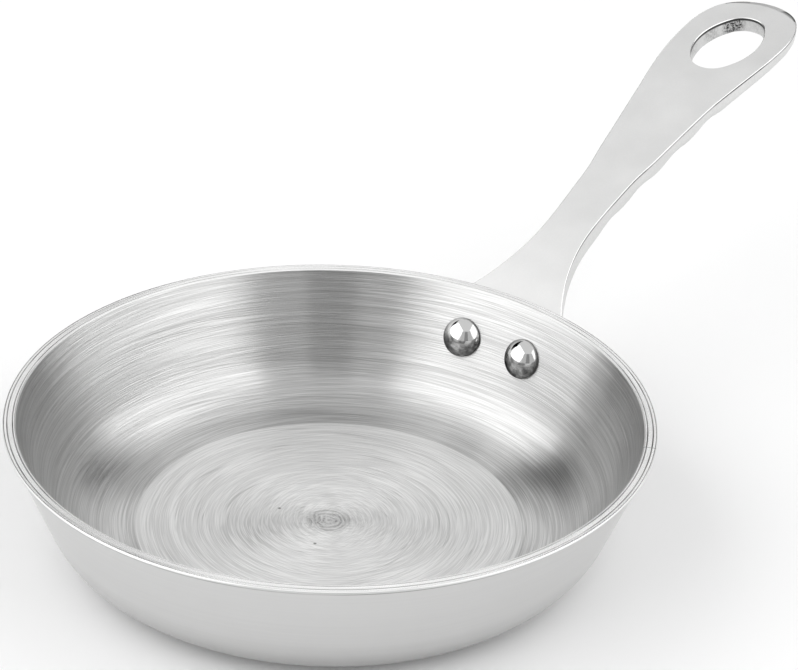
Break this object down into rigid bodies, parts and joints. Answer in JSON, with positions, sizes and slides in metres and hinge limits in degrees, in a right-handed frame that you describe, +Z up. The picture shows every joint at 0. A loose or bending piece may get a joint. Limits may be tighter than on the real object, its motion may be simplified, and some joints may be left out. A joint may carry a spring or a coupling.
{
  "type": "frying pan",
  "caption": "Small round frying pan pressed from clad sheet metal, with a cast steel handle riveted to its sloping wall and an oval hanging eye.",
  "frame": {"origin": "centre of the base, on the surface that the pan stands on", "axes": "+Z up, +X along the handle from the dish to the eye, +Y to the left of the handle"},
  "size_m": [0.257, 0.14, 0.0684],
  "materials": {
    "cooking_face_steel": "stainless steel, brushed in rings round the pan's axis",
    "core_aluminium": "aluminium, bare only as a band in the ground rim",
    "outside_steel": "stainless steel, fine satin",
    "handle_steel": "cast stainless steel, bead-blasted satin",
    "rivet_steel": "stainless steel, polished"
  },
  "bodies": {
    "root": {"inner_ply": "cooking_face_steel", "core_ply": "core_aluminium", "outer_ply": "outside_steel", "handle": "handle_steel", "rivet_left": "rivet_steel", "rivet_right": "rivet_steel"}
  },
  "joints": []
}
